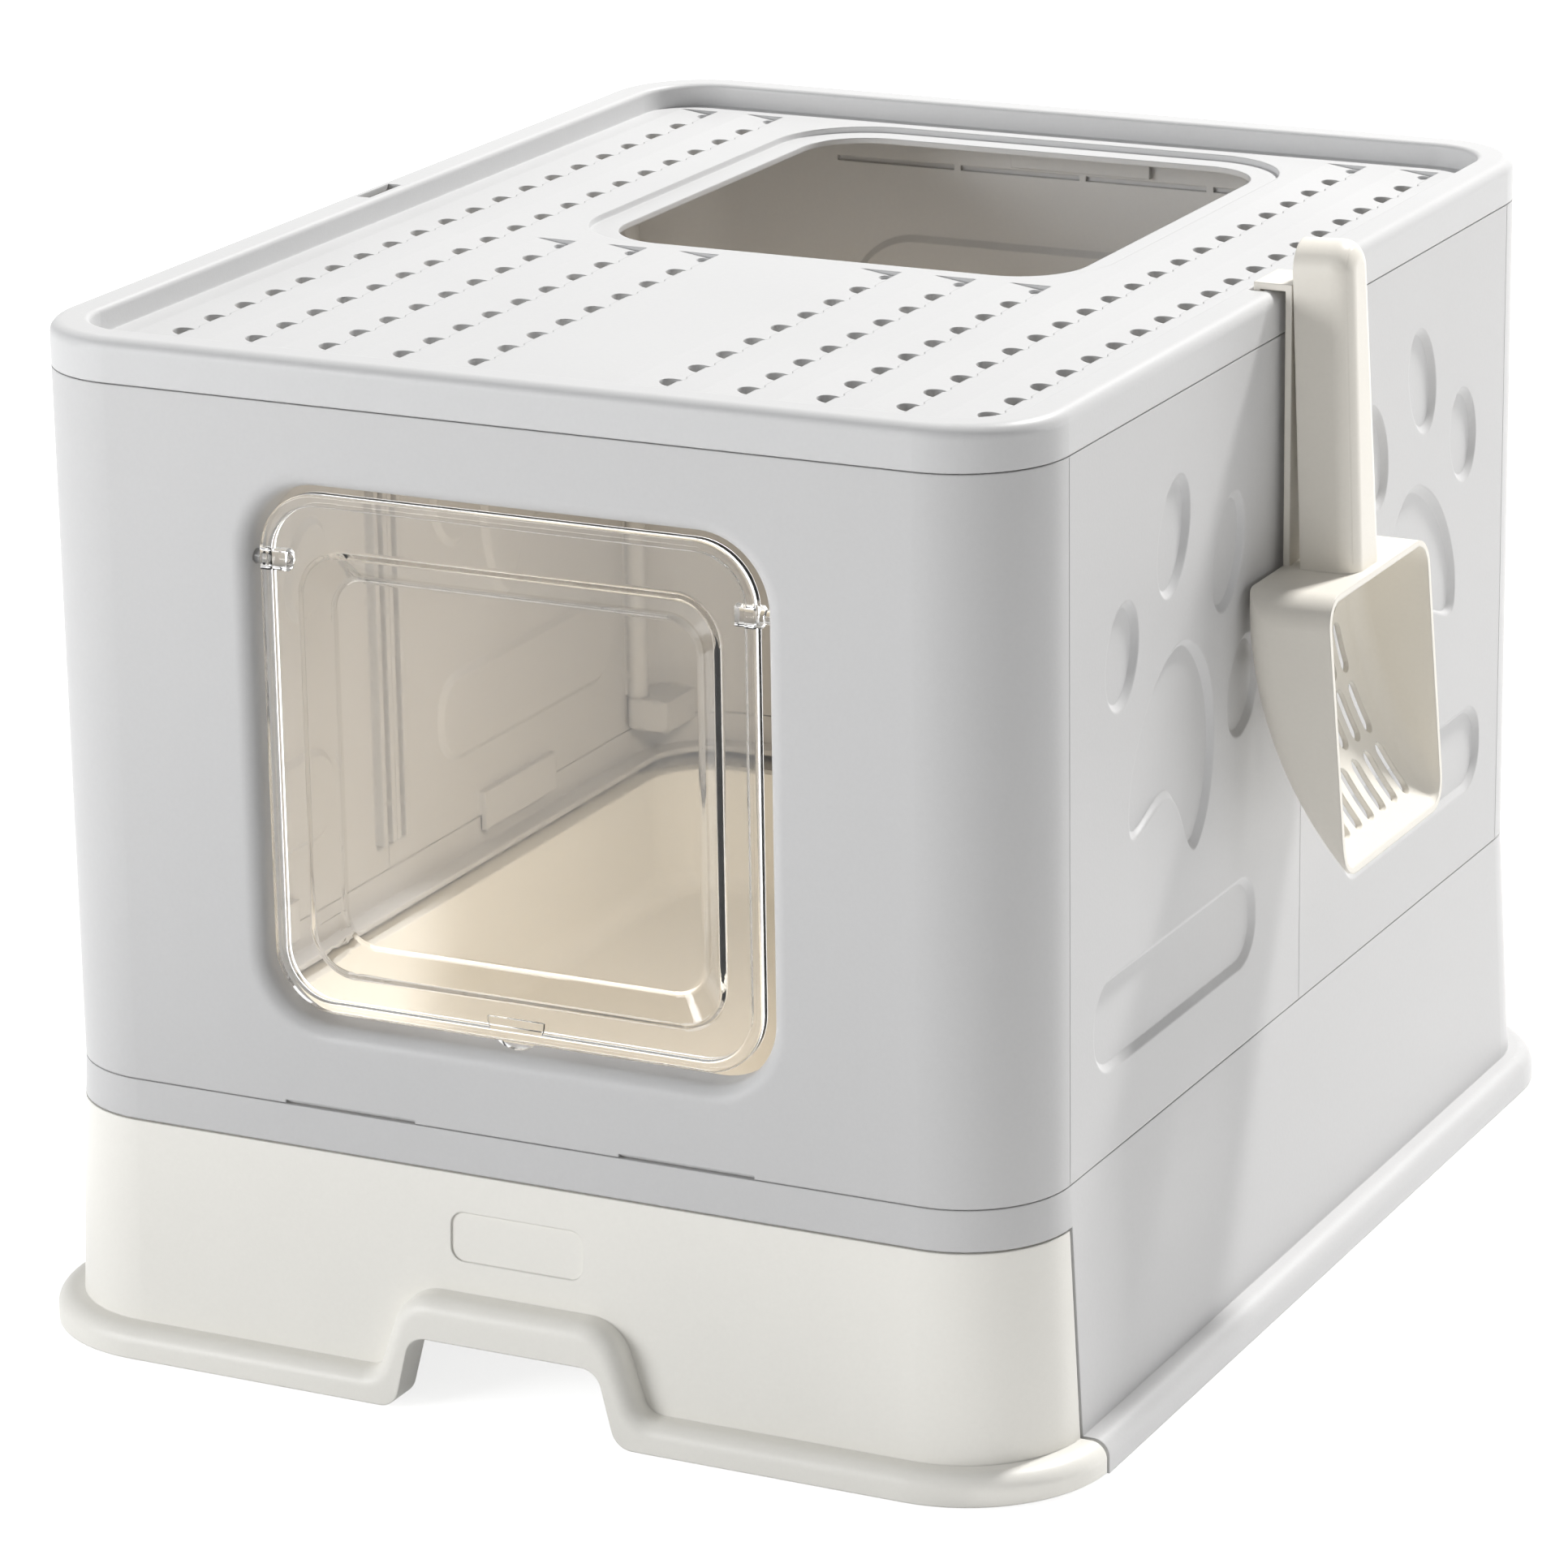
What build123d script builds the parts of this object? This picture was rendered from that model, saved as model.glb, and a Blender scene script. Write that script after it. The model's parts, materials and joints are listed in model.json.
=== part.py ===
# Top-entry litter box: a base with a slide-out drawer, a wall ring that folds inward at its side
# seams, a clear front flap, a vented lid with the top-entry hole, and a scoop hooked on the lid.
# Millimetres and degrees. The floor is z = 0, the front faces -Y and the scoop hangs on the +X side.
from build123d import *
from math import cos, hypot, sin, radians
import os

os.makedirs("parts", exist_ok=True)

# Wall ring
wall_width = 384
wall_depth = 490
wall_height = 254
wall_thickness = 3
corner_radius = 38.5
leaf_gap = 0.3
seam_gap = 0.4

# Base frame
base_height = 103
skirt_flare = 5.2
skirt_thickness = 3
band_height = 14.6
ledge_reach = 14.5
ledge_height = 12
ledge_round = 6
deflector_width = 8
deflector_thickness = 2.4
runner_width = 6
runner_thickness = 3
runner_drop = 8

# Drawer
drawer_top_gap = 0.7
drawer_side_gap = 2
drawer_floor_gap = 1
drawer_thickness = 3
runner_gap = 0.3
rim_thickness = 2.5
rim_side_gap = 1.5
pan_side_gap = 2
pan_rear_gap = 14
pan_wall = 2.5
pan_draft = 6
pan_floor = 34
pan_corner_radius = 30
pan_floor_round = 11
hand_bottom_width = 88
hand_top_width = 74
hand_height = 29
hand_round = 8
arch_bottom_width = 113
arch_top_width = 82
arch_height = 44
arch_round = 16
plate_width = 52
plate_height = 18
plate_round = 5
plate_depth = 0.7
plate_sink = 1.2

# Tongues that locate the walls in the base and the lid
tongue_length = 60
tongue_thickness = 2
tongue_root = 10
tongue_drop = 6
tongue_gap = 0.6

# Door opening and flap
door_width = 198
door_sill = 30
door_head = 29
door_radius = 26
lip_width = 5
lip_depth = 15
lip_round = 6
notch_width = 52
notch_centre = 66
notch_height = 1.1
flap_side_gap = 4
flap_top_gap = 2.5
flap_bottom_gap = 5
flap_corner_gap = 3
flap_thickness = 2
flap_setback = 3
bead_width = 4.5
bead_height = 1.2
bead_round = 1
panel_side_margin = 14
panel_top_margin = 19.8
panel_bottom_margin = 13.7
panel_radius = 17
panel_slope = 9
panel_step = 6
panel_round = 2.5
pivot_drop = 25.5
pivot_setback = 4.2
pivot_radius = 2.5
pivot_reach = 4.5
pivot_clearance = 0.06
pivot_boss_length = 9
pivot_boss_radius = 4
tab_radius = 11
tab_rise = 8.5
tab_thickness = 3

# Pressed figures of the side leaves
press_depth = 2
press_slope = 2.6
press_round = 1
paw_shift = 12
paw_sink = 21
paw_tilt = 20
outer_toe_half_width = 13.6
outer_toe_half_height = 19
outer_toe_across = 57
outer_toe_up = 18
outer_toe_tilt = 5
inner_toe_half_width = 13.2
inner_toe_half_height = 21.5
inner_toe_across = 26
inner_toe_up = 62
inner_toe_tilt = 1
pad_across = 3
pad_half_width = 36
pad_top = 29
pad_shoulder_across = 23
pad_shoulder_up = 17
pad_hip_drop = 14
pad_flank_across = 35
pad_flank_drop = 33
pad_tip_across = 31
pad_tip_drop = 41
pad_notch_drop = 26
capsule_length = 144
capsule_height = 34
capsule_radius = 15
capsule_shift = 11
capsule_rise = 46.5
fold_rib_height = 4
fold_rib_width = 3
fold_rib_pitch = 7
fold_rib_count = 2

# Corner hinges
hinge_inset = 8
hinge_setback = 4.8
barrel_radius = 4.3
bracket_width = 20
bracket_depth = 26
bracket_height = 13
bracket_nose = 4.4
bracket_seat = 0.05
bracket_run_gap = 0.4
pin_radius = 2
pin_clearance = 0.05
pin_reach = 18
pin_end = 2

# Rear panel
rear_field_side_margin = 89
rear_field_margin = 43
rear_field_radius = 30
rear_slot_height = 2
rear_slot_width = 52
rear_slot_pitch = 55
rear_slot_count = 4
rear_slot_drop = 12.5

# Lid
lid_height = 15.6
lid_wall = 2.5
lid_round = 4.5
rim_width = 14
rim_edge_round = 2
deck_drop = 9
deck_thickness = 4.6
hole_side_margin = 97.5
hole_depth = 204
hole_radius = 26
hole_rear_margin = 36.5
collar_width = 11
collar_top_width = 5
collar_height = 6.5
collar_round = 2
vent_front_margin = 58
vent_edge_margin = 22.6
vent_end_margin = 9
vent_pitch = 21.2
vent_radius = 4.7
vent_row_first = 37
vent_rows_long = 2
vent_rows_short = 3
groove_rise = 13
groove_wall = 3.4
groove_depth = 2
groove_lead = 13
dimple_depth = 1.1
dimple_radius = 3.2
hook_slot_length = 24
hook_slot_width = 5.5
spare_slot_centre = 0

# Scoop
scoop_centre = -14
scoop_wall = 2.2
scoop_wall_gap = 2.5
handle_width_top = 22
handle_width_bottom = 27
handle_lap = 1.4
handle_length = 118
handle_depth = 21
handle_round = 7
handle_lean = 2.6
handle_standoff = 7.5
handle_floor = 4
bowl_width = 98
bowl_drop = 99
bowl_length = 101
bowl_sag = 11
bowl_lip_reach = 38.5
bowl_mouth_reach = 32
bowl_back_round = 9
bowl_corner = 11
slot_columns = 6
slot_pitch = 11.6
slot_width = 6.6
slot_length = 18
slot_rows = 4
slot_row_pitch = 21.6
slot_first_rise = 17.7
hook_width = 22
hook_thickness = 2.4
hook_drop = 8
hook_rest = 0.3

# Levels and half sizes that follow from these
half_width = wall_width / 2
half_depth = wall_depth / 2
seam_y = half_depth - corner_radius
base_top = base_height - seam_gap
wall_top = base_height + wall_height
lid_bottom = wall_top + seam_gap
lid_top = lid_bottom + lid_height
deck_top = lid_top - deck_drop
deck_bottom = deck_top - deck_thickness
band_bottom = base_top - band_height
runner_top = band_bottom - runner_drop
rim_bottom = runner_top + runner_gap
rim_top = rim_bottom + rim_thickness
drawer_top = band_bottom - drawer_top_gap
drawer_back = -(seam_y + drawer_side_gap)
runner_inner = half_width - skirt_thickness - runner_width
inner_y = half_depth - wall_thickness
flap_y = half_depth - flap_setback
pivot_y = flap_y - pivot_setback
hinge_x = half_width - hinge_inset
hinge_y = seam_y - hinge_setback
door_bottom = base_height + door_sill
door_top = wall_top - door_head
door_height = door_top - door_bottom
door_centre_height = (door_top + door_bottom) / 2
flap_top = door_top - flap_top_gap
flap_bottom = door_bottom + flap_bottom_gap
flap_width = door_width - 2 * flap_side_gap
flap_height = flap_top - flap_bottom
flap_centre_height = (flap_top + flap_bottom) / 2
flap_radius = door_radius - flap_corner_gap
panel_width = flap_width - 2 * panel_side_margin
panel_height = flap_height - panel_top_margin - panel_bottom_margin
panel_centre = flap_top - panel_top_margin - panel_height / 2
pivot_height = flap_top - pivot_drop
plate_centre_height = (arch_height + drawer_top) / 2 - plate_sink
capsule_setback = seam_y / 2 + capsule_shift
capsule_centre_height = base_height + capsule_rise
paw_setback = seam_y / 2 + paw_shift
paw_height = (capsule_centre_height + capsule_height / 2 + wall_top) / 2 - paw_sink
rear_field_width = wall_width - 2 * rear_field_side_margin
rear_field_height = wall_height - 2 * rear_field_margin
hole_width = wall_width - 2 * hole_side_margin
hole_centre = half_depth - hole_rear_margin - hole_depth / 2
collar_front = hole_centre - hole_depth / 2 - collar_width
vent_first = vent_front_margin - half_depth
vent_row_room = half_width - rim_width - vent_edge_margin - vent_row_first
vent_row_pitch = vent_row_room / (vent_rows_long + vent_rows_short - 1)
vent_count_short = int((collar_front - vent_end_margin - vent_first) / vent_pitch)
vent_count_long = int((half_depth - rim_width - vent_end_margin - vent_first) / vent_pitch)
bowl_top = lid_top - bowl_drop
bowl_lip = bowl_top - bowl_length
handle_foot = bowl_top - handle_lap
clear = 60


def flare_at(z):
    """Outward flare of the base skirt at height z."""
    return skirt_flare * (base_top - z) / base_top


def reach_of(point):
    """How far a point lies outside the upright wall plane of the box, seen in plan."""
    across = max(abs(point.X) - (half_width - corner_radius), 0)
    along = max(abs(point.Y) - (half_depth - corner_radius), 0)
    return hypot(across, along) - corner_radius


def plan(z, grow):
    """Rounded plan of the box at height z, grown outward from the wall plane."""
    with BuildSketch(Plane.XY.offset(z)) as outline:
        RectangleRounded(wall_width + 2 * grow, wall_depth + 2 * grow, corner_radius + grow)
    return outline.sketch


def plan_ring(z, outer_grow, inner_grow):
    """Rounded band in plan between two outlines of the box."""
    with BuildSketch(Plane.XY.offset(z)) as band:
        RectangleRounded(
            wall_width + 2 * outer_grow, wall_depth + 2 * outer_grow, corner_radius + outer_grow
        )
        RectangleRounded(
            wall_width + 2 * inner_grow,
            wall_depth + 2 * inner_grow,
            corner_radius + inner_grow,
            mode=Mode.SUBTRACT,
        )
    return band.sketch


def front_rect(y, width, height, radius, centre_height):
    """Rounded rectangle on an upright plane at depth y, facing the front."""
    with BuildSketch(Plane.XZ.offset(-y)) as outline:
        with Locations((0, centre_height)):
            RectangleRounded(width, height, radius)
    return outline.sketch


def finish(builder, name):
    """Labels a finished piece and writes it."""
    builder.part.label = name
    export_step(builder.part, f"parts/{name}.step")


def cut_arch(width_bottom, width_top, height, top_round, foot_round, foot):
    """Arched outline standing on a foot strip, drawn on the front plane."""
    with BuildSketch(Plane.XZ) as outline:
        with BuildLine():
            Polyline(
                (-width_bottom / 2, 0),
                (-width_top / 2, height),
                (width_top / 2, height),
                (width_bottom / 2, 0),
                close=True,
            )
        make_face()
        fillet(outline.vertices().group_by(Axis.Y)[-1], top_round)
        with Locations((0, foot)):
            Rectangle(wall_width + clear * 2, clear, align=(Align.CENTER, Align.MAX))
        inner = outline.vertices().filter_by(lambda v: abs(v.Y - foot) < 0.01 and abs(v.X) < half_width)
        fillet(inner, foot_round)
    return outline.sketch


# Base frame: flared skirt, foot ledge, band over the drawer, litter deflector and drawer runners
with BuildPart() as base_frame:
    extrude(plan(0, ledge_reach), amount=ledge_height)
    fillet(base_frame.edges().group_by(Axis.Z)[-1], ledge_round)
    loft([plan(0, flare_at(0)), plan(base_top, 0)])
    loft(
        [
            plan(-1, flare_at(-1) - skirt_thickness),
            plan(base_top + 1, flare_at(base_top + 1) - skirt_thickness),
        ],
        mode=Mode.SUBTRACT,
    )
    with Locations((0, -seam_y, band_bottom)):
        Box(
            wall_width + 2 * clear,
            corner_radius + clear,
            band_bottom + clear,
            align=(Align.CENTER, Align.MAX, Align.MAX),
            mode=Mode.SUBTRACT,
        )
    extrude(
        plan_ring(band_bottom, -skirt_thickness / 2, -skirt_thickness - deflector_width),
        amount=deflector_thickness,
    )
    for side in (-1, 1):
        with Locations((side * runner_inner, 0, runner_top)):
            Box(
                half_width - skirt_thickness / 2 - runner_inner + flare_at(runner_top),
                2 * (seam_y - runner_width),
                runner_thickness,
                align=(Align.MIN if side > 0 else Align.MAX, Align.CENTER, Align.MAX),
            )
finish(base_frame, "base_frame")

# Litter drawer: front shell flush with the skirt, arched foot ledge, hand cut-out and the pan
front_slope = Plane(
    origin=(0, -half_depth - flare_at(plate_centre_height), plate_centre_height),
    x_dir=(1, 0, 0),
    z_dir=(0, -base_top, skirt_flare),
)
pan_half_width = runner_inner - pan_side_gap
pan_front = -(inner_y - lip_width)
pan_rear = half_depth - pan_rear_gap - skirt_thickness
pan_centre = (pan_front + pan_rear) / 2
pan_length = pan_rear - pan_front


def pan_plan(z, inset):
    """Rounded plan of the pan at height z, with its draft."""
    draft = pan_draft * (rim_top - z) / (rim_top - pan_floor)
    with BuildSketch(Plane.XY.offset(z)) as outline:
        with Locations((0, pan_centre)):
            RectangleRounded(
                2 * (pan_half_width - draft - inset),
                pan_length - 2 * (draft + inset),
                pan_corner_radius - inset - draft / 2,
            )
    return outline.sketch


with BuildPart() as litter_drawer:
    extrude(plan(drawer_floor_gap, ledge_reach), amount=arch_height)
    ledge_outline = cut_arch(
        arch_bottom_width, arch_top_width, arch_height, arch_round, arch_round / 2, ledge_height
    )
    extrude(ledge_outline, amount=half_depth + clear, mode=Mode.INTERSECT)
    fillet(
        litter_drawer.edges().filter_by(
            lambda e: abs(reach_of(e @ 0.5) - ledge_reach) < 0.01
            and e.bounding_box().max.Z > drawer_floor_gap + 1
            and (e @ 0.5).Y < -1
        ),
        ledge_round,
    )
    loft([plan(drawer_floor_gap, flare_at(drawer_floor_gap)), plan(drawer_top, flare_at(drawer_top))])
    loft(
        [
            plan(0, flare_at(0) - drawer_thickness),
            plan(drawer_top + 1, flare_at(drawer_top + 1) - drawer_thickness),
        ],
        mode=Mode.SUBTRACT,
    )
    with Locations((0, drawer_back, 0)):
        Box(
            wall_width + 2 * clear,
            wall_depth + clear,
            base_height,
            align=(Align.CENTER, Align.MIN, Align.MIN),
            mode=Mode.SUBTRACT,
        )
    hand_outline = cut_arch(
        hand_bottom_width, hand_top_width, hand_height, hand_round, hand_round, drawer_floor_gap
    )
    extrude(hand_outline, amount=half_depth + clear, mode=Mode.SUBTRACT)
    with BuildSketch(front_slope):
        RectangleRounded(plate_width, plate_height, plate_round)
    extrude(amount=-plate_depth, mode=Mode.SUBTRACT)
    rim_half = half_width + flare_at(rim_top) - skirt_thickness - rim_side_gap
    rim_front = -(half_depth - drawer_thickness / 2)
    rim_rear = pan_rear + runner_width / 2
    with BuildSketch(Plane.XY.offset(rim_bottom)):
        with Locations((0, (rim_front + rim_rear) / 2)):
            RectangleRounded(2 * rim_half, rim_rear - rim_front, corner_radius - drawer_thickness)
    extrude(amount=rim_thickness)
    loft([pan_plan(pan_floor - pan_wall, 0), pan_plan(rim_top, 0)])
    loft([pan_plan(pan_floor, pan_wall), pan_plan(rim_top + 1, pan_wall)], mode=Mode.SUBTRACT)
    pan_bottom_face = litter_drawer.faces().filter_by(
        lambda f: abs(f.center().Z - pan_floor) < 0.01 and f.normal_at().Z > 0.99
    )
    fillet(pan_bottom_face.edges(), pan_floor_round)
finish(litter_drawer, "litter_drawer")


def u_panel(end):
    """Plan of an end panel: a wall that turns both corners and stops at the side seams."""
    with BuildSketch(Plane.XY.offset(base_height)) as outline:
        RectangleRounded(wall_width, wall_depth, corner_radius)
        RectangleRounded(
            wall_width - 2 * wall_thickness,
            wall_depth - 2 * wall_thickness,
            corner_radius - wall_thickness,
            mode=Mode.SUBTRACT,
        )
        with Locations((0, end * (seam_y + leaf_gap / 2))):
            Rectangle(
                wall_width + clear,
                corner_radius + clear,
                align=(Align.CENTER, Align.MIN if end > 0 else Align.MAX),
                mode=Mode.INTERSECT,
            )
    return outline.sketch


def tongue_boxes(along_x, face, sign, centre):
    """Two tongues on a wall's inner face: one drops into the base and one rises into the lid."""
    def place(low, high, gap, root):
        depth = tongue_thickness + root
        middle = sign * (face - gap - tongue_thickness + depth / 2)
        where = (centre, middle) if along_x else (middle, centre)
        size = (tongue_length, depth) if along_x else (depth, tongue_length)
        with Locations((*where, (low + high) / 2)):
            Box(*size, high - low)

    tongue_top = deck_bottom - tongue_gap
    place(base_height - tongue_drop, base_height + tongue_root, tongue_gap, 0)
    place(base_height, base_height + tongue_root, tongue_gap, tongue_gap)
    place(wall_top - tongue_root, tongue_top, tongue_gap, 0)
    place(wall_top - tongue_root, wall_top, tongue_gap, tongue_gap)


# Front panel: rounded wall with the door opening, its soft lip, pin holes and two seam notches
with BuildPart() as front_panel:
    extrude(u_panel(-1), amount=wall_height)
    extrude(
        front_rect(
            -half_depth + lip_depth,
            door_width + 2 * lip_width,
            door_height + 2 * lip_width,
            door_radius + lip_width,
            door_centre_height,
        ),
        amount=lip_depth,
    )
    extrude(
        front_rect(-half_depth + lip_depth, door_width, door_height, door_radius, door_centre_height),
        amount=lip_depth,
        mode=Mode.SUBTRACT,
    )
    front_face = front_panel.faces().sort_by(Axis.Y)[0]
    fillet(front_face.inner_wires()[0].edges(), lip_round)
    for side in (-1, 1):
        with Locations(Location((side * (door_width + lip_width) / 2, -pivot_y, pivot_height), (0, 90, 0))):
            Cylinder(pivot_radius + pivot_clearance, 2 * lip_width, mode=Mode.SUBTRACT)
        with Locations((side * notch_centre, -half_depth, base_height)):
            Box(
                notch_width,
                wall_thickness,
                2 * notch_height,
                mode=Mode.SUBTRACT,
            )
    tongue_boxes(True, inner_y, -1, 0)
finish(front_panel, "front_panel")

# Rear panel: the same wall, with a pressed field and a row of slots under the lid
with BuildPart() as rear_panel:
    extrude(u_panel(1), amount=wall_height)
    field_height = base_height + wall_height / 2
    field_y = (half_depth, half_depth - press_depth)
    for offset_in, mode in ((wall_thickness, Mode.ADD), (0, Mode.SUBTRACT)):
        grow = 0 if mode is Mode.SUBTRACT else press_slope
        loft(
            [
                front_rect(
                    y - offset_in,
                    rear_field_width - 2 * slope + grow,
                    rear_field_height - 2 * slope + grow,
                    rear_field_radius - slope + grow / 2,
                    field_height,
                )
                for y, slope in zip(field_y, (0, press_slope))
            ],
            mode=mode,
        )
    with Locations((0, inner_y, wall_top - rear_slot_drop)):
        with GridLocations(rear_slot_pitch, 1, rear_slot_count, 1):
            Box(rear_slot_width, wall_thickness, rear_slot_height, mode=Mode.SUBTRACT)
    tongue_boxes(True, inner_y, 1, 0)
finish(rear_panel, "rear_panel")


def toe_places():
    """Centre, tilt and half sizes of the four toes, in the paw's own axes."""
    outer = (outer_toe_half_width, outer_toe_half_height)
    inner = (inner_toe_half_width, inner_toe_half_height)
    for side in (-1, 1):
        yield side * outer_toe_across, outer_toe_up, -side * outer_toe_tilt, outer
        yield side * inner_toe_across, inner_toe_up, -side * inner_toe_tilt, inner


def paw_plane(wall_plane):
    """Plane of the tilted paw print on a leaf."""
    lean = radians(paw_tilt)
    origin = wall_plane.from_local_coords(Vector(-paw_setback, paw_height, 0))
    right = wall_plane.x_dir * cos(lean) - wall_plane.y_dir * sin(lean)
    return Plane(origin=origin, x_dir=right, z_dir=wall_plane.z_dir)


def toe_sketch(plane, across, up, tilt, half_sizes, inset):
    """One oval toe of the paw print."""
    with BuildSketch(plane) as outline:
        with Locations((across, up)):
            Ellipse(*[half - inset for half in half_sizes], rotation=tilt)
    return outline.sketch


def pad_sketch(plane, inset):
    """The paw's main pad, with the notch between its two tips."""
    right_side = [
        (pad_shoulder_across - inset, pad_shoulder_up - inset),
        (pad_half_width - inset, -pad_hip_drop),
        (pad_flank_across - inset, -pad_flank_drop + inset),
        (pad_tip_across - inset, -pad_tip_drop + inset),
    ]
    left_side = [(-across, up) for across, up in reversed(right_side)]
    outline_points = [(0, pad_top - inset), *right_side, (0, -pad_notch_drop + inset), *left_side]
    with BuildSketch(plane) as outline:
        with BuildLine():
            Spline(*[(pad_across + across, up) for across, up in outline_points], periodic=True)
        make_face()
    return outline.sketch


def capsule_sketch(plane, inset):
    """The capsule pressed below the paw."""
    with BuildSketch(plane) as outline:
        with Locations((-capsule_setback, capsule_centre_height)):
            RectangleRounded(
                capsule_length - 2 * inset, capsule_height - 2 * inset, capsule_radius - inset
            )
    return outline.sketch


def make_leaf(name, side, end):
    """One side leaf: side is -1 left or 1 right, end is -1 front or 1 rear."""
    outward = -end * side
    face = Plane(origin=(side * half_width, 0, 0), x_dir=(0, -end, 0), z_dir=(-end, 0, 0))

    def level(depth):
        return face.offset(-outward * depth)

    def figures(depth, inset):
        lifted = level(depth)
        paw = paw_plane(lifted)
        toes = [toe_sketch(paw, *place, inset) for place in toe_places()]
        return [*toes, pad_sketch(paw, inset), capsule_sketch(lifted, inset)]

    with BuildPart() as leaf:
        with Locations((side * half_width, end * leaf_gap / 2, base_height)):
            Box(
                wall_thickness,
                seam_y - leaf_gap,
                wall_height,
                align=(
                    Align.MAX if side > 0 else Align.MIN,
                    Align.MIN if end > 0 else Align.MAX,
                    Align.MIN,
                ),
            )
        raised = zip(
            figures(wall_thickness, -press_slope / 2),
            figures(wall_thickness + press_depth, press_slope / 2),
        )
        for low, high in raised:
            loft([low, high])
        for rim, floor in zip(figures(0, 0), figures(press_depth, press_slope)):
            loft([rim, floor], mode=Mode.SUBTRACT)
        outer_face = leaf.faces().filter_by(Axis.X).sort_by(Axis.X)[-1 if side > 0 else 0]
        for figure in outer_face.inner_wires():
            fillet(figure.edges(), press_round)
        inner_x = half_width - wall_thickness
        for step in range(fold_rib_count):
            rib_y = end * (leaf_gap / 2 + fold_rib_width / 2 + step * fold_rib_pitch)
            with Locations((side * (inner_x + wall_thickness / 2), rib_y, base_height + wall_height / 2)):
                Box(
                    fold_rib_height + wall_thickness / 2,
                    fold_rib_width,
                    wall_height - 4 * tongue_drop,
                    align=(Align.MAX if side > 0 else Align.MIN, Align.CENTER, Align.CENTER),
                )
        barrel_low = base_height + pin_end + bracket_height + bracket_run_gap
        barrel_high = wall_top - pin_end - bracket_height - bracket_run_gap
        with Locations((side * hinge_x, end * hinge_y, barrel_low)):
            Cylinder(barrel_radius, barrel_high - barrel_low, align=(Align.CENTER, Align.CENTER, Align.MIN))
            Box(
                hinge_inset - wall_thickness / 2,
                barrel_radius,
                barrel_high - barrel_low,
                align=(Align.MIN if side > 0 else Align.MAX, Align.CENTER, Align.MIN),
            )
        with Locations((side * hinge_x, end * hinge_y, (barrel_low + barrel_high) / 2)):
            Cylinder(pin_radius + pin_clearance, barrel_high - barrel_low, mode=Mode.SUBTRACT)
        tongue_boxes(False, inner_x, side, end * seam_y / 2)
    finish(leaf, name)


def make_bracket(name, side, end, upper):
    """A corner bracket seated in an end panel's corner, with the eye of the hinge pin."""
    low = wall_top - pin_end - bracket_height if upper else base_height + pin_end
    with BuildPart() as bracket:
        extrude(plan(low, -wall_thickness - bracket_seat), amount=bracket_height)
        with BuildSketch(Plane.XY.offset(low)):
            with Locations((side * (hinge_x + bracket_nose), end * (hinge_y - bracket_nose))):
                Rectangle(
                    bracket_width,
                    bracket_depth,
                    align=(Align.MAX if side > 0 else Align.MIN, Align.MIN if end > 0 else Align.MAX),
                )
        extrude(amount=bracket_height, mode=Mode.INTERSECT)
        nose = bracket.edges().filter_by(Axis.Z).sort_by(
            lambda e: hypot(
                (e @ 0.5).X - side * (hinge_x + bracket_nose), (e @ 0.5).Y - end * (hinge_y - bracket_nose)
            )
        )[0]
        fillet(nose, bracket_nose - pin_clearance)
        with Locations((side * hinge_x, end * hinge_y, low + bracket_height / 2)):
            Cylinder(pin_radius + pin_clearance, bracket_height, mode=Mode.SUBTRACT)
    finish(bracket, name)


def make_pins(name, side, end):
    """The lower and upper pin of one corner hinge."""
    length = bracket_height + bracket_run_gap + pin_reach
    with BuildPart() as pins:
        with Locations(
            (side * hinge_x, end * hinge_y, base_height + pin_end + length / 2),
            (side * hinge_x, end * hinge_y, wall_top - pin_end - length / 2),
        ):
            Cylinder(pin_radius, length)
    finish(pins, name)


# Side leaves, corner brackets and hinge pins
for side, side_name in ((-1, "left"), (1, "right")):
    for end, end_name in ((-1, "front"), (1, "rear")):
        make_leaf(f"{side_name}_{end_name}_leaf", side, end)
        make_bracket(f"{end_name}_{side_name}_lower_bracket", side, end, False)
        make_bracket(f"{end_name}_{side_name}_upper_bracket", side, end, True)
        make_pins(f"{end_name}_{side_name}_hinge_pins", side, end)

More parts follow.
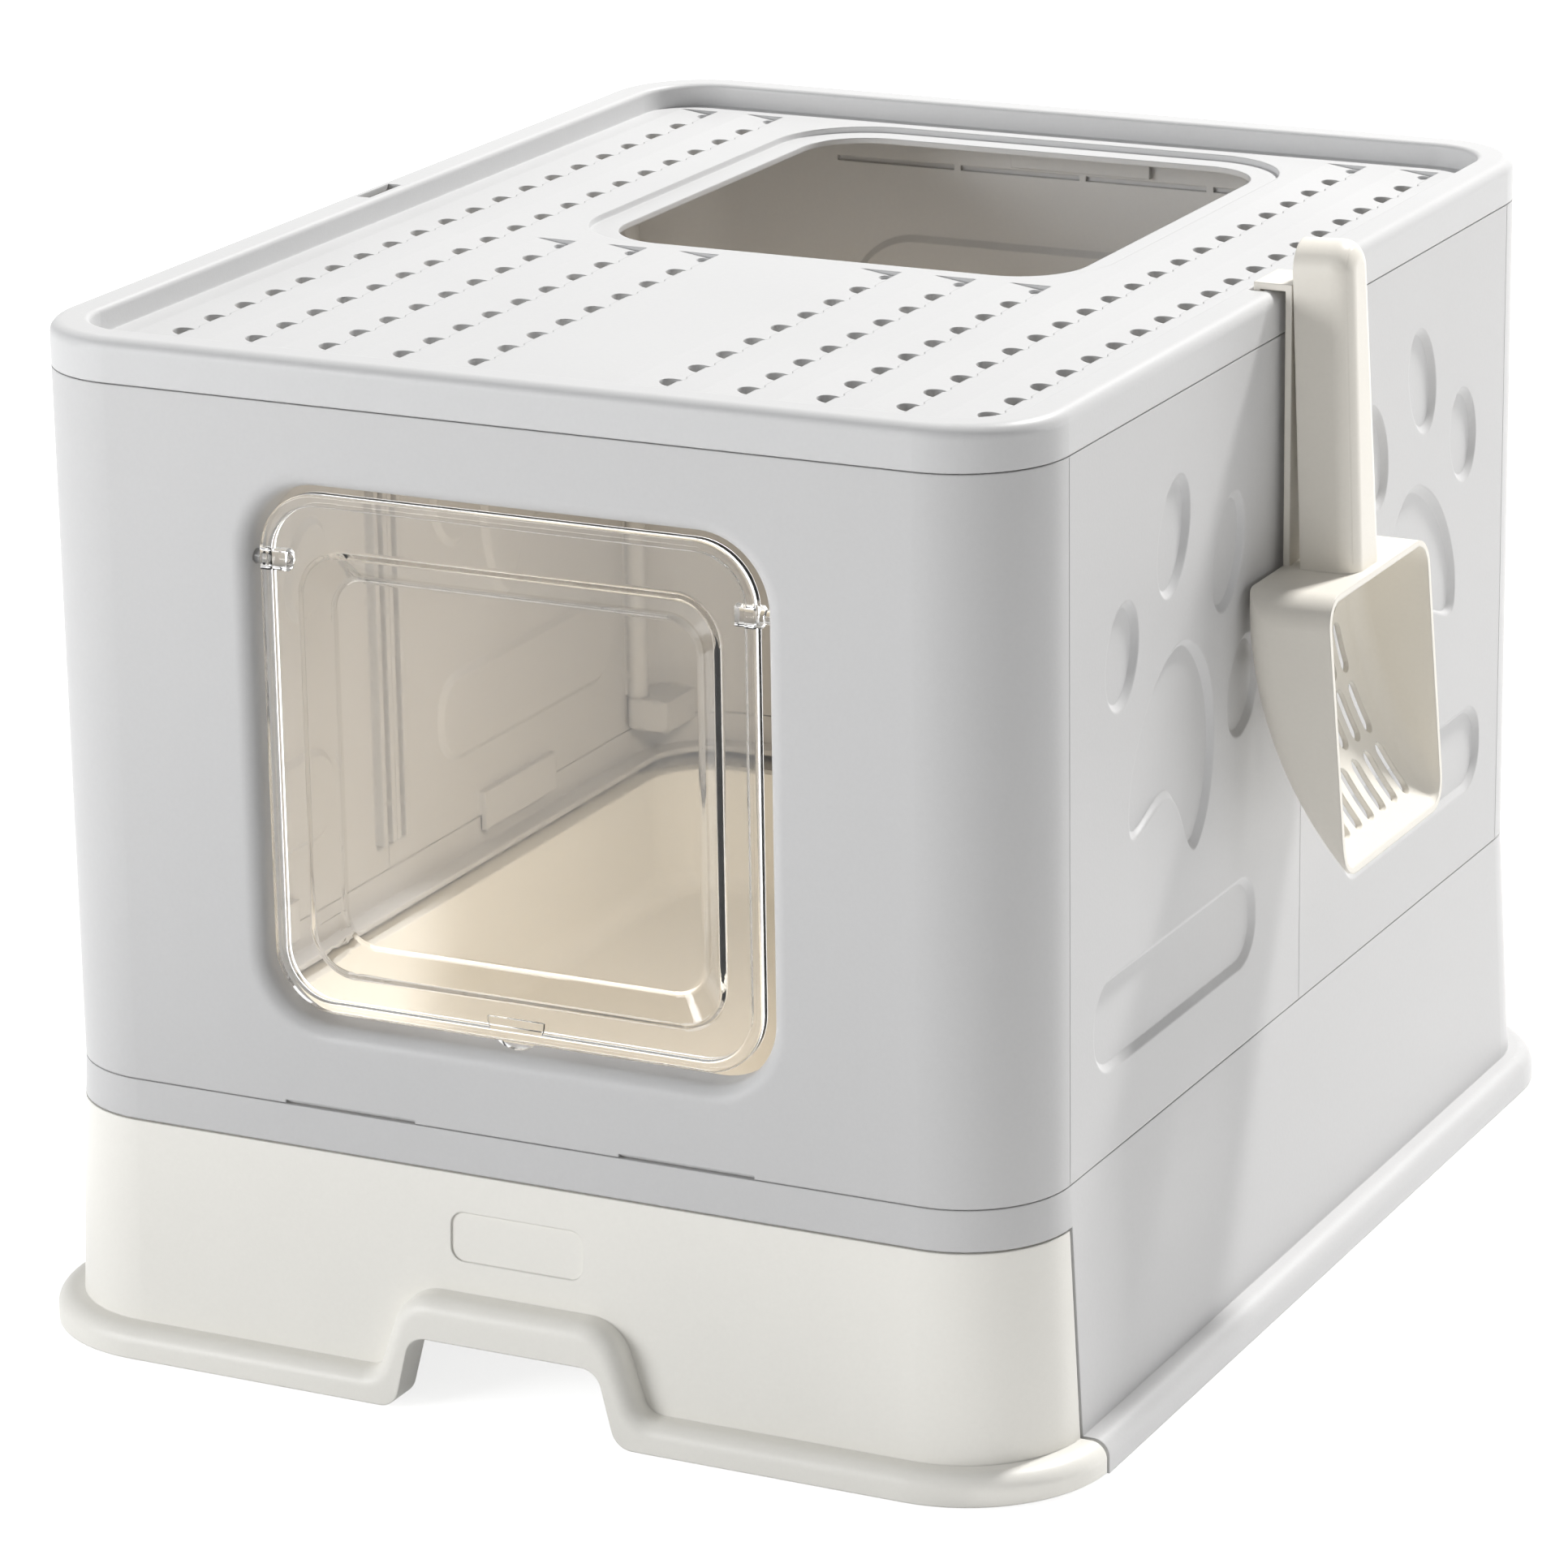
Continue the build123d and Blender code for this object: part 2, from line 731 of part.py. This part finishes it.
# Door flap: clear panel with an edge bead, a recessed middle, stub pins and a thumb tab
with BuildPart() as door_flap:
    flap_back = -flap_y + flap_thickness
    flap_size = (flap_width, flap_height, flap_radius, flap_centre_height)
    extrude(front_rect(flap_back, *flap_size), amount=flap_thickness)
    with BuildSketch(Plane.XZ.offset(flap_y - flap_thickness - bead_height)):
        with Locations((0, flap_centre_height)):
            RectangleRounded(flap_width, flap_height, flap_radius)
            RectangleRounded(
                flap_width - 2 * bead_width,
                flap_height - 2 * bead_width,
                flap_radius - bead_width,
                mode=Mode.SUBTRACT,
            )
    extrude(amount=flap_thickness + 2 * bead_height)
    fillet(door_flap.edges().filter_by(lambda e: (e @ 0.5).Y < -flap_y - bead_height / 2), bead_round)
    steps = (-flap_y, -flap_y + panel_step)
    loft(
        [
            front_rect(
                y + flap_thickness,
                panel_width - 2 * slope,
                panel_height - 2 * slope,
                panel_radius - slope / 3,
                panel_centre,
            )
            for y, slope in zip(steps, (0, panel_slope))
        ]
    )
    loft(
        [
            front_rect(
                y,
                panel_width - 2 * (slope + flap_thickness),
                panel_height - 2 * (slope + flap_thickness),
                panel_radius - slope / 3 - flap_thickness,
                panel_centre,
            )
            for y, slope in zip(steps, (0, panel_slope))
        ],
        mode=Mode.SUBTRACT,
    )
    panel_levels = [y + depth for y in steps for depth in (0, flap_thickness)]
    panel_edges = door_flap.edges().filter_by(
        lambda e: any(abs((e @ 0.5).Y - level) < 0.01 for level in panel_levels)
        and abs((e @ 0.5).X) < panel_width / 2 + 0.01
        and abs((e @ 0.5).Z - panel_centre) < panel_height / 2 + 0.01
    )
    fillet(panel_edges, panel_round)
    for side in (-1, 1):
        edge = side * flap_width / 2
        pin_length = flap_side_gap + pivot_reach
        with Locations(Location((edge, -pivot_y, pivot_height), (0, 90, 0))):
            Cylinder(
                pivot_radius,
                pin_length,
                align=(Align.CENTER, Align.CENTER, Align.MIN if side > 0 else Align.MAX),
            )
            Cylinder(
                pivot_boss_radius,
                pivot_boss_length,
                align=(Align.CENTER, Align.CENTER, Align.MAX if side > 0 else Align.MIN),
            )
    tab_height = flap_bottom + tab_rise
    with BuildSketch(Plane.XZ.offset(flap_y - flap_thickness)):
        with Locations((0, tab_height)):
            Circle(tab_radius)
            Rectangle(
                4 * tab_radius, 2 * tab_radius, align=(Align.CENTER, Align.MIN), mode=Mode.SUBTRACT
            )
    extrude(amount=tab_thickness)
finish(door_flap, "door_flap")


def vent_rows():
    """Place along X and number of holes of each vent row."""
    for side in (-1, 1):
        for row in range(vent_rows_short + vent_rows_long):
            count = vent_count_short if row < vent_rows_short else vent_count_long
            yield side * (vent_row_first + row * vent_row_pitch), count


# Lid: skirt, hollow rim, sunken deck, vent rows, the collar of the top-entry hole and hook slots
with BuildPart() as top_lid:
    extrude(plan(lid_bottom, 0), amount=lid_height)
    fillet(top_lid.edges().group_by(Axis.Z)[-1], lid_round)
    extrude(plan(lid_bottom, -lid_wall), amount=deck_bottom - lid_bottom, mode=Mode.SUBTRACT)
    extrude(plan(deck_top, -rim_width), amount=deck_drop, mode=Mode.SUBTRACT)
    extrude(
        plan_ring(deck_bottom, -lid_wall, -rim_width + lid_wall),
        amount=lid_top - lid_wall - deck_bottom,
        mode=Mode.SUBTRACT,
    )
    rim_edge = top_lid.edges().filter_by(
        lambda e: abs((e @ 0.5).Z - lid_top) < 0.01 and abs(reach_of(e @ 0.5) + rim_width) < 0.01
    )
    fillet(rim_edge, rim_edge_round)
    for x, count in vent_rows():
        run = groove_lead + vent_pitch * count + vent_radius
        with BuildSketch(Plane.XZ.offset(groove_lead - vent_first)):
            with BuildLine():
                Polyline(
                    (x - groove_rise, deck_top),
                    (x + groove_wall, deck_top - groove_depth),
                    (x + groove_wall, deck_top),
                    close=True,
                )
            make_face()
        extrude(amount=-run, mode=Mode.SUBTRACT)
        with BuildSketch(Plane.XY.offset(deck_bottom)):
            with Locations(*[(x, vent_first + vent_pitch * i) for i in range(count)]):
                Circle(vent_radius)
        extrude(amount=deck_thickness, mode=Mode.SUBTRACT)
        with BuildSketch(Plane.XY.offset(deck_top - groove_depth - dimple_depth / 2)):
            with Locations((x, vent_first + vent_pitch * count)):
                Circle(dimple_radius)
        extrude(amount=groove_depth + dimple_depth, mode=Mode.SUBTRACT)
    collar = []
    collar_steps = (
        (deck_top - deck_thickness / 2, collar_width),
        (deck_top + collar_height, collar_top_width),
    )
    for z, grow in collar_steps:
        with BuildSketch(Plane.XY.offset(z)) as collar_plan:
            with Locations((0, hole_centre)):
                RectangleRounded(hole_width + 2 * grow, hole_depth + 2 * grow, hole_radius + grow)
        collar.append(collar_plan.sketch)
    loft(collar)
    with BuildSketch(Plane.XY.offset(deck_bottom)):
        with Locations((0, hole_centre)):
            RectangleRounded(hole_width, hole_depth, hole_radius)
    extrude(amount=clear, mode=Mode.SUBTRACT)
    fillet(
        top_lid.edges().filter_by(lambda e: abs((e @ 0.5).Z - deck_top - collar_height) < 0.01),
        collar_round,
    )
    slot_x = half_width - rim_width / 2 - lid_wall / 2
    with Locations((-slot_x, spare_slot_centre, lid_top), (slot_x, scoop_centre, lid_top)):
        Box(hook_slot_width, hook_slot_length, 3 * lid_wall, mode=Mode.SUBTRACT)
finish(top_lid, "top_lid")

# Scoop: shovel bowl with a slotted floor, channel handle, and the hook strip over the lid's rim
scoop_x = half_width + scoop_wall_gap
scoop_side = Plane(origin=(0, scoop_centre, 0), x_dir=(1, 0, 0), z_dir=(0, -1, 0))
handle_up = Plane(
    origin=(scoop_x + handle_standoff, scoop_centre, handle_foot),
    x_dir=(0, 1, 0),
    z_dir=(cos(radians(handle_lean)), 0, sin(radians(handle_lean))),
)


def bowl_block(inset, mouth):
    """The bowl as a full block, drawn in by a wall's thickness, with its mouth pushed outward."""
    lip_x = scoop_x + bowl_lip_reach + inset
    mouth_x = scoop_x + bowl_mouth_reach + mouth
    with BuildPart() as block:
        with BuildSketch(scoop_side):
            with BuildLine():
                back = (scoop_x + inset, bowl_top - inset)
                lip = (lip_x, bowl_lip + inset / 2)
                SagittaArc(back, lip, -bowl_sag)
                corner = (lip_x + max(mouth, scoop_wall / 2), bowl_lip + inset / 2)
                Polyline(lip, corner, (mouth_x, bowl_top - inset), back)
            make_face()
        extrude(amount=bowl_width / 2 - inset, both=True)
        fillet(block.edges().filter_by(GeomType.CIRCLE), bowl_back_round - inset)
        with BuildSketch(Plane.YZ):
            with Locations((scoop_centre, (bowl_top + bowl_lip) / 2)):
                RectangleRounded(
                    bowl_width - 2 * inset, bowl_top - bowl_lip - 2 * inset, bowl_corner - inset
                )
        extrude(amount=wall_width, mode=Mode.INTERSECT)
    return block.part


def handle_outline(inset, floor):
    """Outline of the handle seen from outside: a slight taper under a round top."""
    top = handle_width_top / 2 - inset
    bottom = handle_width_bottom / 2 - inset
    shoulder = handle_length - handle_width_top / 2
    with BuildSketch(handle_up) as outline:
        with BuildLine():
            Polyline((-top, shoulder), (-bottom, floor), (bottom, floor), (top, shoulder))
            ThreePointArc((top, shoulder), (0, shoulder + top), (-top, shoulder))
        make_face()
    return outline.sketch


with BuildPart() as litter_scoop:
    extrude(handle_outline(0, 0), amount=handle_depth)
    handle_front = litter_scoop.faces().sort_by(Axis.X)[-1]
    fillet(handle_front.edges().filter_by(lambda e: (e @ 0.5).Z > handle_foot + handle_floor), handle_round)
    extrude(handle_outline(scoop_wall, handle_floor), amount=handle_depth - scoop_wall, mode=Mode.SUBTRACT)
    add(bowl_block(0, 0))
    add(bowl_block(scoop_wall, clear), mode=Mode.SUBTRACT)
    for row in range(slot_rows):
        slot_height = bowl_lip + slot_first_rise + row * slot_row_pitch
        with BuildSketch(Plane.YZ.offset(scoop_x)):
            with Locations((scoop_centre, slot_height)):
                with GridLocations(slot_pitch, 1, slot_columns, 1):
                    SlotOverall(slot_length, slot_width, rotation=90)
        extrude(amount=bowl_lip_reach, mode=Mode.SUBTRACT)
    hook_low = lid_top + hook_rest
    strip_foot = bowl_top - 2 * scoop_wall
    with Locations((slot_x - hook_thickness / 2, scoop_centre, hook_low)):
        Box(
            scoop_x + handle_depth - slot_x,
            hook_width - 2 * scoop_wall,
            hook_thickness,
            align=(Align.MIN, Align.CENTER, Align.MIN),
        )
        Box(
            scoop_x + hook_thickness - slot_x,
            hook_width,
            hook_thickness,
            align=(Align.MIN, Align.CENTER, Align.MIN),
        )
        Box(
            hook_thickness,
            hook_width,
            hook_drop + hook_rest,
            align=(Align.MIN, Align.CENTER, Align.MAX),
        )
    with Locations((scoop_x, scoop_centre, strip_foot)):
        Box(
            hook_thickness,
            hook_width,
            hook_low + hook_thickness - strip_foot,
            align=(Align.MIN, Align.CENTER, Align.MIN),
        )
finish(litter_scoop, "litter_scoop")
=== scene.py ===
import json
from math import cos, radians, sin

import bpy
from mathutils import Matrix, Vector

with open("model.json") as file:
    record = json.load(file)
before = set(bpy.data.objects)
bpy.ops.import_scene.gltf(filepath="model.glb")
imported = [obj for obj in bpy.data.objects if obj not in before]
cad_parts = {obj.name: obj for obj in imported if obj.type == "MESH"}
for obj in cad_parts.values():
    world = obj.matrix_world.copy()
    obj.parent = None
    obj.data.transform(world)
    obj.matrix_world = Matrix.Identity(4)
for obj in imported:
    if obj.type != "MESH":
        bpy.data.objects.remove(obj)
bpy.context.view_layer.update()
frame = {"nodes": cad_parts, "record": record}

# Photograph's viewpoint, in metres and degrees
EYE = Vector((1.00523, -2.04835, 0.88171))
AZIMUTH = radians(26.514)
ELEVATION = radians(17.521)
ROLL = radians(0.892)
LENS = 146.3
SENSOR = 36.0

# Colours as linear values
SHELL = (0.585, 0.585, 0.588)
LID = (0.63, 0.632, 0.636)
DRAWER = (0.88, 0.865, 0.815)
SCOOP = (0.88, 0.845, 0.77)
STEEL = (0.56, 0.56, 0.57)
FLAP = (0.985, 0.985, 0.98)
FLOOR = (0.86, 0.86, 0.86)
WHITE = (1.0, 1.0, 1.0)

# Surfaces, with lengths in metres
EDGE_SOFTNESS = 0.0009
GRAIN_DEPTH = 0.0003
FLOW_DEPTH = 0.0012
RIPPLE_DEPTH = 0.0006
PLASTIC_IOR = 1.49
PLASTIC_SPECULAR = 0.42
FLAP_IOR = 1.42
FLAP_SHADOW = 0.1

# Studio, with lengths in metres
FLOOR_SIZE = 14.0
FLOOR_DROP = 0.0005
FLOOR_GLOW = 0.78
ROOM_LIGHT = 0.22
ROOM_SEEN = 1.0


def node_material(name):
    """A new material, its Principled shader and a short way to add linked nodes."""
    material = bpy.data.materials.new(name)
    material.use_nodes = True
    tree = material.node_tree
    shader = tree.nodes["Principled BSDF"]

    def add(kind, inputs=None, **settings):
        node = tree.nodes.new(kind)
        for key, value in settings.items():
            setattr(node, key, value)
        for key, value in (inputs or {}).items():
            if isinstance(value, bpy.types.NodeSocket):
                tree.links.new(value, node.inputs[key])
            else:
                node.inputs[key].default_value = value
        return node

    return material, tree, shader, add


def shade(colour, factor):
    """A colour scaled by a factor, with alpha."""
    return (*[min(1.0, c * factor) for c in colour], 1.0)


def moulded_plastic(name, colour, rough, grain, spread=0.035, bump=0.05):
    """Injection-moulded plastic: faint flow marks, fine spark-eroded grain and softened edges."""
    material, tree, shader, add = node_material(name)
    place = add("ShaderNodeTexCoord").outputs["Object"]
    flow_place = add("ShaderNodeMapping", {"Vector": place, "Scale": (1.0, 1.0, 0.35)})
    flow = add(
        "ShaderNodeTexNoise",
        {"Vector": flow_place.outputs["Vector"], "Scale": 7.0, "Detail": 4.0, "Roughness": 0.55},
    )
    fine = add("ShaderNodeTexNoise", {"Vector": place, "Scale": grain, "Detail": 3.0, "Roughness": 0.6})
    cells = add("ShaderNodeTexVoronoi", {"Vector": place, "Scale": grain * 1.6, "Randomness": 1.0})
    mixed = add(
        "ShaderNodeMix",
        {"Factor": 0.35, "A": flow.outputs["Fac"], "B": fine.outputs["Fac"]},
        data_type="FLOAT",
    )
    tint = add("ShaderNodeValToRGB", {"Fac": mixed.outputs["Result"]})
    tint.color_ramp.elements[0].position = 0.3
    tint.color_ramp.elements[0].color = shade(colour, 1.0 - spread)
    tint.color_ramp.elements[1].position = 0.7
    tint.color_ramp.elements[1].color = shade(colour, 1.0 + spread * 0.6)
    tree.links.new(tint.outputs["Color"], shader.inputs["Base Color"])
    gloss = add(
        "ShaderNodeMapRange",
        {
            "Value": flow.outputs["Fac"],
            "From Min": 0.3,
            "From Max": 0.7,
            "To Min": rough - 0.05,
            "To Max": rough + 0.06,
        },
    )
    tree.links.new(gloss.outputs["Result"], shader.inputs["Roughness"])
    soft_edge = add("ShaderNodeBevel", {"Radius": EDGE_SOFTNESS}, samples=4)
    pebble = add(
        "ShaderNodeBump",
        {
            "Strength": bump,
            "Distance": GRAIN_DEPTH,
            "Height": cells.outputs["Distance"],
            "Normal": soft_edge.outputs["Normal"],
        },
    )
    wave = add(
        "ShaderNodeBump",
        {
            "Strength": 0.06,
            "Distance": FLOW_DEPTH,
            "Height": flow.outputs["Fac"],
            "Normal": pebble.outputs["Normal"],
        },
    )
    tree.links.new(wave.outputs["Normal"], shader.inputs["Normal"])
    shader.inputs["IOR"].default_value = PLASTIC_IOR
    shader.inputs["Specular IOR Level"].default_value = PLASTIC_SPECULAR
    return material


def clear_plastic(name):
    """Clear moulded flap: thin haze, slight waviness in the sheet and only a faint shadow."""
    material, tree, shader, add = node_material(name)
    place = add("ShaderNodeTexCoord").outputs["Object"]
    wave = add("ShaderNodeTexNoise", {"Vector": place, "Scale": 16.0, "Detail": 2.0, "Roughness": 0.4})
    dust = add("ShaderNodeTexNoise", {"Vector": place, "Scale": 240.0, "Detail": 5.0, "Roughness": 0.65})
    haze = add(
        "ShaderNodeMapRange",
        {
            "Value": dust.outputs["Fac"],
            "From Min": 0.45,
            "From Max": 0.75,
            "To Min": 0.015,
            "To Max": 0.09,
        },
    )
    tree.links.new(haze.outputs["Result"], shader.inputs["Roughness"])
    ripple = add(
        "ShaderNodeBump",
        {"Strength": 0.12, "Distance": RIPPLE_DEPTH, "Height": wave.outputs["Fac"]},
    )
    tree.links.new(ripple.outputs["Normal"], shader.inputs["Normal"])
    light = add("ShaderNodeLightPath")
    solid = add(
        "ShaderNodeMapRange",
        {"Value": light.outputs["Is Shadow Ray"], "To Min": 1.0, "To Max": FLAP_SHADOW},
    )
    tree.links.new(solid.outputs["Result"], shader.inputs["Alpha"])
    shader.inputs["Base Color"].default_value = (*FLAP, 1.0)
    shader.inputs["Transmission Weight"].default_value = 1.0
    shader.inputs["IOR"].default_value = FLAP_IOR
    return material


def drawn_steel(name):
    """Hinge pins: drawn wire with fine lines along its length."""
    material, tree, shader, add = node_material(name)
    place = add("ShaderNodeTexCoord").outputs["Object"]
    along = add("ShaderNodeMapping", {"Vector": place, "Scale": (1.0, 1.0, 0.02)})
    lines = add(
        "ShaderNodeTexNoise",
        {"Vector": along.outputs["Vector"], "Scale": 2600.0, "Detail": 3.0, "Roughness": 0.6},
    )
    tint = add("ShaderNodeValToRGB", {"Fac": lines.outputs["Fac"]})
    tint.color_ramp.elements[0].color = shade(STEEL, 0.8)
    tint.color_ramp.elements[1].color = shade(STEEL, 1.1)
    tree.links.new(tint.outputs["Color"], shader.inputs["Base Color"])
    gloss = add("ShaderNodeMapRange", {"Value": lines.outputs["Fac"], "To Min": 0.25, "To Max": 0.45})
    tree.links.new(gloss.outputs["Result"], shader.inputs["Roughness"])
    shader.inputs["Metallic"].default_value = 1.0
    return material


materials = {
    "shell_grey": moulded_plastic("shell grey plastic", SHELL, 0.44, 620.0),
    "lid_grey": moulded_plastic("lid grey plastic", LID, 0.42, 620.0),
    "drawer_cream": moulded_plastic("drawer cream plastic", DRAWER, 0.4, 620.0, 0.03),
    "scoop_cream": moulded_plastic("scoop cream plastic", SCOOP, 0.36, 700.0, 0.03, 0.03),
    "bracket_grey": moulded_plastic("bracket grey plastic", SHELL, 0.5, 700.0),
    "flap_clear": clear_plastic("flap clear plastic"),
    "pin_steel": drawn_steel("pin drawn steel"),
}
slot_of = {part["node"]: part["material_slot"] for part in frame["record"]["subparts"]}
for node, piece in frame["nodes"].items():
    for place in piece.material_slots:
        place.material = materials[slot_of[node]]


def background_view(tree):
    """1 where the camera, a gloss or a clear sheet sees the background, 0 where it lights the object."""
    path = tree.nodes.new("ShaderNodeLightPath")
    seen = path.outputs["Is Camera Ray"]
    for ray in ("Is Glossy Ray", "Is Transmission Ray"):
        either = tree.nodes.new("ShaderNodeMath")
        either.operation = "MAXIMUM"
        tree.links.new(seen, either.inputs[0])
        tree.links.new(path.outputs[ray], either.inputs[1])
        seen = either.outputs[0]
    return seen


# Floor: pale, white to the camera where no shadow falls
bpy.ops.mesh.primitive_plane_add(size=FLOOR_SIZE, location=(0.0, 0.0, -FLOOR_DROP))
floor = bpy.context.object
floor.name = "studio_floor"
floor_material = bpy.data.materials.new("studio floor")
floor_material.use_nodes = True
nodes = floor_material.node_tree.nodes
links = floor_material.node_tree.links
nodes.remove(nodes["Principled BSDF"])
base = nodes.new("ShaderNodeBsdfDiffuse")
base.inputs["Color"].default_value = (*FLOOR, 1.0)
glow = nodes.new("ShaderNodeEmission")
glow.inputs["Color"].default_value = (*WHITE, 1.0)
level = nodes.new("ShaderNodeMath")
level.operation = "MULTIPLY"
level.inputs[1].default_value = FLOOR_GLOW
links.new(background_view(floor_material.node_tree), level.inputs[0])
links.new(level.outputs[0], glow.inputs["Strength"])
both = nodes.new("ShaderNodeAddShader")
links.new(base.outputs[0], both.inputs[0])
links.new(glow.outputs[0], both.inputs[1])
links.new(both.outputs[0], nodes["Material Output"].inputs["Surface"])
floor.data.materials.append(floor_material)

# World: soft white room, plain white where it is seen
world = bpy.data.worlds.new("studio")
bpy.context.scene.world = world
world.use_nodes = True
nodes = world.node_tree.nodes
links = world.node_tree.links
room = nodes["Background"]
room.inputs["Color"].default_value = (*WHITE, 1.0)
strength = nodes.new("ShaderNodeMapRange")
strength.inputs["To Min"].default_value = ROOM_LIGHT
strength.inputs["To Max"].default_value = ROOM_SEEN
links.new(background_view(world.node_tree), strength.inputs["Value"])
links.new(strength.outputs["Result"], room.inputs["Strength"])


def softbox(name, place, aim, size, power, colour=WHITE, spread=180.0, shown=True):
    """A rectangular studio light that faces a point, with its spread in degrees."""
    data = bpy.data.lights.new(name, "AREA")
    data.shape = "RECTANGLE"
    data.size, data.size_y = size
    data.energy = power
    data.color = colour
    data.spread = radians(spread)
    lamp = bpy.data.objects.new(name, data)
    bpy.context.collection.objects.link(lamp)
    lamp.location = place
    lamp.visible_camera = False
    lamp.visible_glossy = shown
    lamp.visible_transmission = shown
    lamp.rotation_euler = (Vector(aim) - Vector(place)).to_track_quat("-Z", "Y").to_euler()


softbox("key_rear", (0.9, 2.3, 3.5), (0.0, 0.0, 0.25), (0.45, 0.45), 206.0, (1.0, 0.99, 0.975))
softbox("right_soft", (2.3, 0.2, 0.6), (0.1, 0.0, 0.2), (1.0, 1.0), 4.0)
softbox("front_left", (-1.5, -2.0, 0.75), (0.0, 0.0, 0.18), (1.3, 1.0), 35.0, (0.99, 0.995, 1.0))

# Small warm lamp under the lid, for the light that reaches the inside in the photograph
softbox(
    "cabin_fill",
    (0.1, -0.12, 0.33),
    (-0.1, 0.06, 0.05),
    (0.08, 0.08),
    0.3,
    (1.0, 0.83, 0.62),
    spread=110.0,
    shown=False,
)

# Camera
back = Vector((sin(AZIMUTH) * cos(ELEVATION), -cos(AZIMUTH) * cos(ELEVATION), sin(ELEVATION)))
level_right = (-back).cross(Vector((0.0, 0.0, 1.0))).normalized()
level_up = back.cross(level_right)
right = cos(ROLL) * level_right - sin(ROLL) * level_up
up = cos(ROLL) * level_up + sin(ROLL) * level_right
camera_data = bpy.data.cameras.new("photo_camera")
camera_data.sensor_width = SENSOR
camera_data.lens = LENS
camera_data.clip_end = 50.0
camera = bpy.data.objects.new("photo_camera", camera_data)
bpy.context.collection.objects.link(camera)
turn = Matrix((right, up, back)).transposed().to_4x4()
camera.matrix_world = Matrix.Translation(EYE) @ turn
bpy.context.scene.camera = camera
bpy.context.scene.view_settings.view_transform = "Standard"
